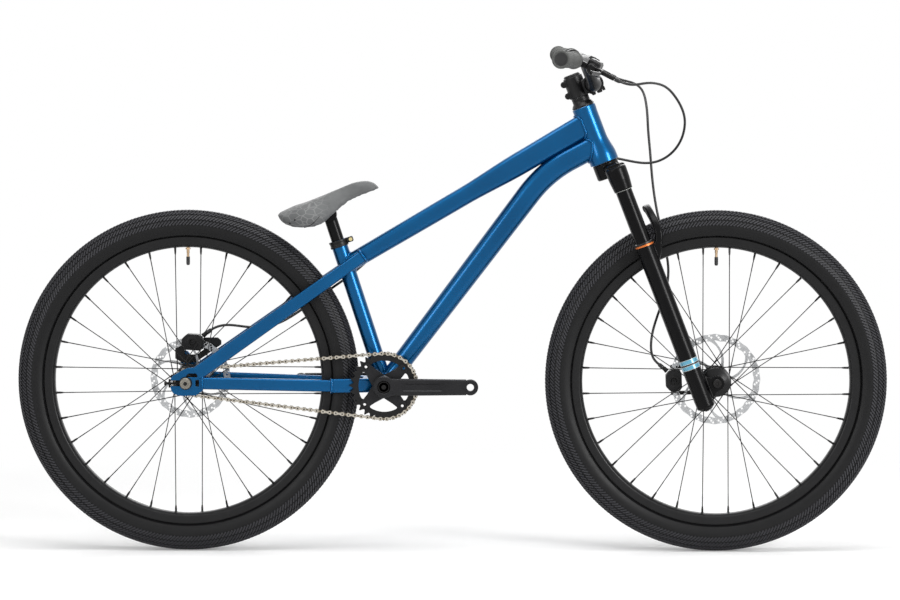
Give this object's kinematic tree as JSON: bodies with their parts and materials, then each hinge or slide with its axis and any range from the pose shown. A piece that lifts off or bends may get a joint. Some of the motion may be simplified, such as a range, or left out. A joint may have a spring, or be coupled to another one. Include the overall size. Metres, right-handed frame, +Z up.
{
  "type": "dirt jump bike",
  "caption": "Hardtail dirt jump bike with a suspension fork, disc brakes, a low saddle and a single-speed chain drive.",
  "frame": {"origin": "on the ground, midway between the two axles, in the bike's middle plane", "axes": "+X forward, +Y to the rider's left (brake side), +Z up"},
  "size_m": [1.719, 0.7624, 0.9947],
  "materials": {
    "blue": "metallic blue paint over aluminium, clear coat",
    "black": "satin black anodised",
    "gloss": "gloss black",
    "stanchion": "polished black anodised",
    "hub": "black shell with steel spokes",
    "black_steel": "black plated",
    "steel": "brushed stainless",
    "chain": "nickel plated",
    "orange": "orange anodised",
    "brass": "nickel plated brass with a black cap",
    "tyre": "block tread, smooth side walls",
    "hose": "smooth black",
    "grip": "ribbed dark grey",
    "saddle": "dark grey grained cover over foam"
  },
  "bodies": {
    "frame": {"head_tube": "blue", "top_tube": "blue", "down_tube": "blue", "seat_tube": "blue", "bottom_bracket_shell": "blue", "chainstay_left": "blue", "chainstay_right": "blue", "seatstay_left": "blue", "seatstay_right": "blue", "dropout_left": "blue", "dropout_right": "blue", "seat_collar": "black", "headset_bearing_upper": "steel", "headset_bearing_lower": "steel", "bb_cup_left": "black", "bb_cup_right": "black", "rear_axle": "black_steel", "chain_tensioner_left": "black", "chain_tensioner_right": "black", "rear_caliper": "black", "rear_caliper_bracket": "black", "rear_hose": "hose", "chain": "chain"},
    "post": {"seat_post": "black"},
    "seat": {"saddle": "saddle"},
    "steering": {"steerer_tube": "gloss", "fork_crown": "gloss", "stanchion_left": "stanchion", "stanchion_right": "stanchion", "headset_cover": "black", "stem": "black", "stem_faceplate": "black", "top_cap": "black", "handlebar": "black", "grip_left": "grip", "grip_right": "grip", "lever_body_left": "black", "lever_body_right": "black", "front_hose": "hose"},
    "left_lever": {"lever_blade_left": "black"},
    "right_lever": {"lever_blade_right": "black"},
    "lowers": {"fork_lowers": "gloss", "wiper_seal_left": "orange", "wiper_seal_right": "orange", "front_axle": "black_steel", "front_caliper": "black"},
    "front_wheel": {"front_tyre": "tyre", "front_rim": "black", "front_valve": "brass", "front_hub": "hub", "front_rotor": "steel"},
    "rear_wheel": {"rear_tyre": "tyre", "rear_rim": "black", "rear_valve": "brass", "rear_hub": "hub", "rear_rotor": "steel"},
    "cog": {"rear_cog": "chain"},
    "cranks": {"crank_arm_right": "black", "crank_arm_left": "black", "chainring": "black"}
  },
  "joints": [
    {"name": "steering_turn", "type": "hinge", "parent": "frame", "child": "steering", "pos_m": [0.30113, 0, 0.7698], "axis": [-0.3576, 0, 0.9339], "range_deg": [-75, 75], "deforming": ["rear_hose"]},
    {"name": "fork_slide", "type": "slide", "parent": "steering", "child": "lowers", "axis": [-0.3576, 0, 0.9339], "range_m": [0, 0.1], "stiffness_N_per_m": 5000, "springref_m": -0.03, "deforming": ["front_hose"]},
    {"name": "front_wheel_spin", "type": "hinge", "parent": "lowers", "child": "front_wheel", "pos_m": [0.522, 0, 0.3375], "axis": [0, 1, 0], "continuous": true},
    {"name": "rear_wheel_spin", "type": "hinge", "parent": "frame", "child": "rear_wheel", "pos_m": [-0.522, 0, 0.3375], "axis": [0, 1, 0], "continuous": true},
    {"name": "crank_spin", "type": "hinge", "parent": "frame", "child": "cranks", "pos_m": [-0.13257, 0, 0.3301], "axis": [0, 1, 0], "continuous": true, "deforming": ["chain"]},
    {"name": "cog_spin", "type": "hinge", "parent": "frame", "child": "cog", "pos_m": [-0.522, 0, 0.3375], "axis": [0, 1, 0], "continuous": true},
    {"name": "lever_left_pull", "type": "hinge", "parent": "steering", "child": "left_lever", "pos_m": [0.28305, 0.259, 0.95022], "axis": [-0.4424, -0.0634, -0.8946], "range_deg": [-18, 0], "stiffness_Nm_per_rad": 1.5, "springref_deg": 8.59},
    {"name": "lever_right_pull", "type": "hinge", "parent": "steering", "child": "right_lever", "pos_m": [0.28305, -0.259, 0.95022], "axis": [-0.4424, 0.0634, -0.8946], "range_deg": [0, 18], "stiffness_Nm_per_rad": 1.5, "springref_deg": -8.59},
    {"name": "seat_post_slide", "type": "slide", "parent": "frame", "child": "post", "axis": [-0.3107, 0, 0.9505], "range_m": [0, 0.08]},
    {"name": "saddle_tilt", "type": "hinge", "parent": "post", "child": "seat", "pos_m": [-0.24239, 0, 0.66611], "axis": [0, 1, 0], "range_deg": [-5, 12]}
  ],
  "couplings": [
    {"joint": "cog_spin", "follows": "crank_spin", "ratio": 2.6667}
  ]
}
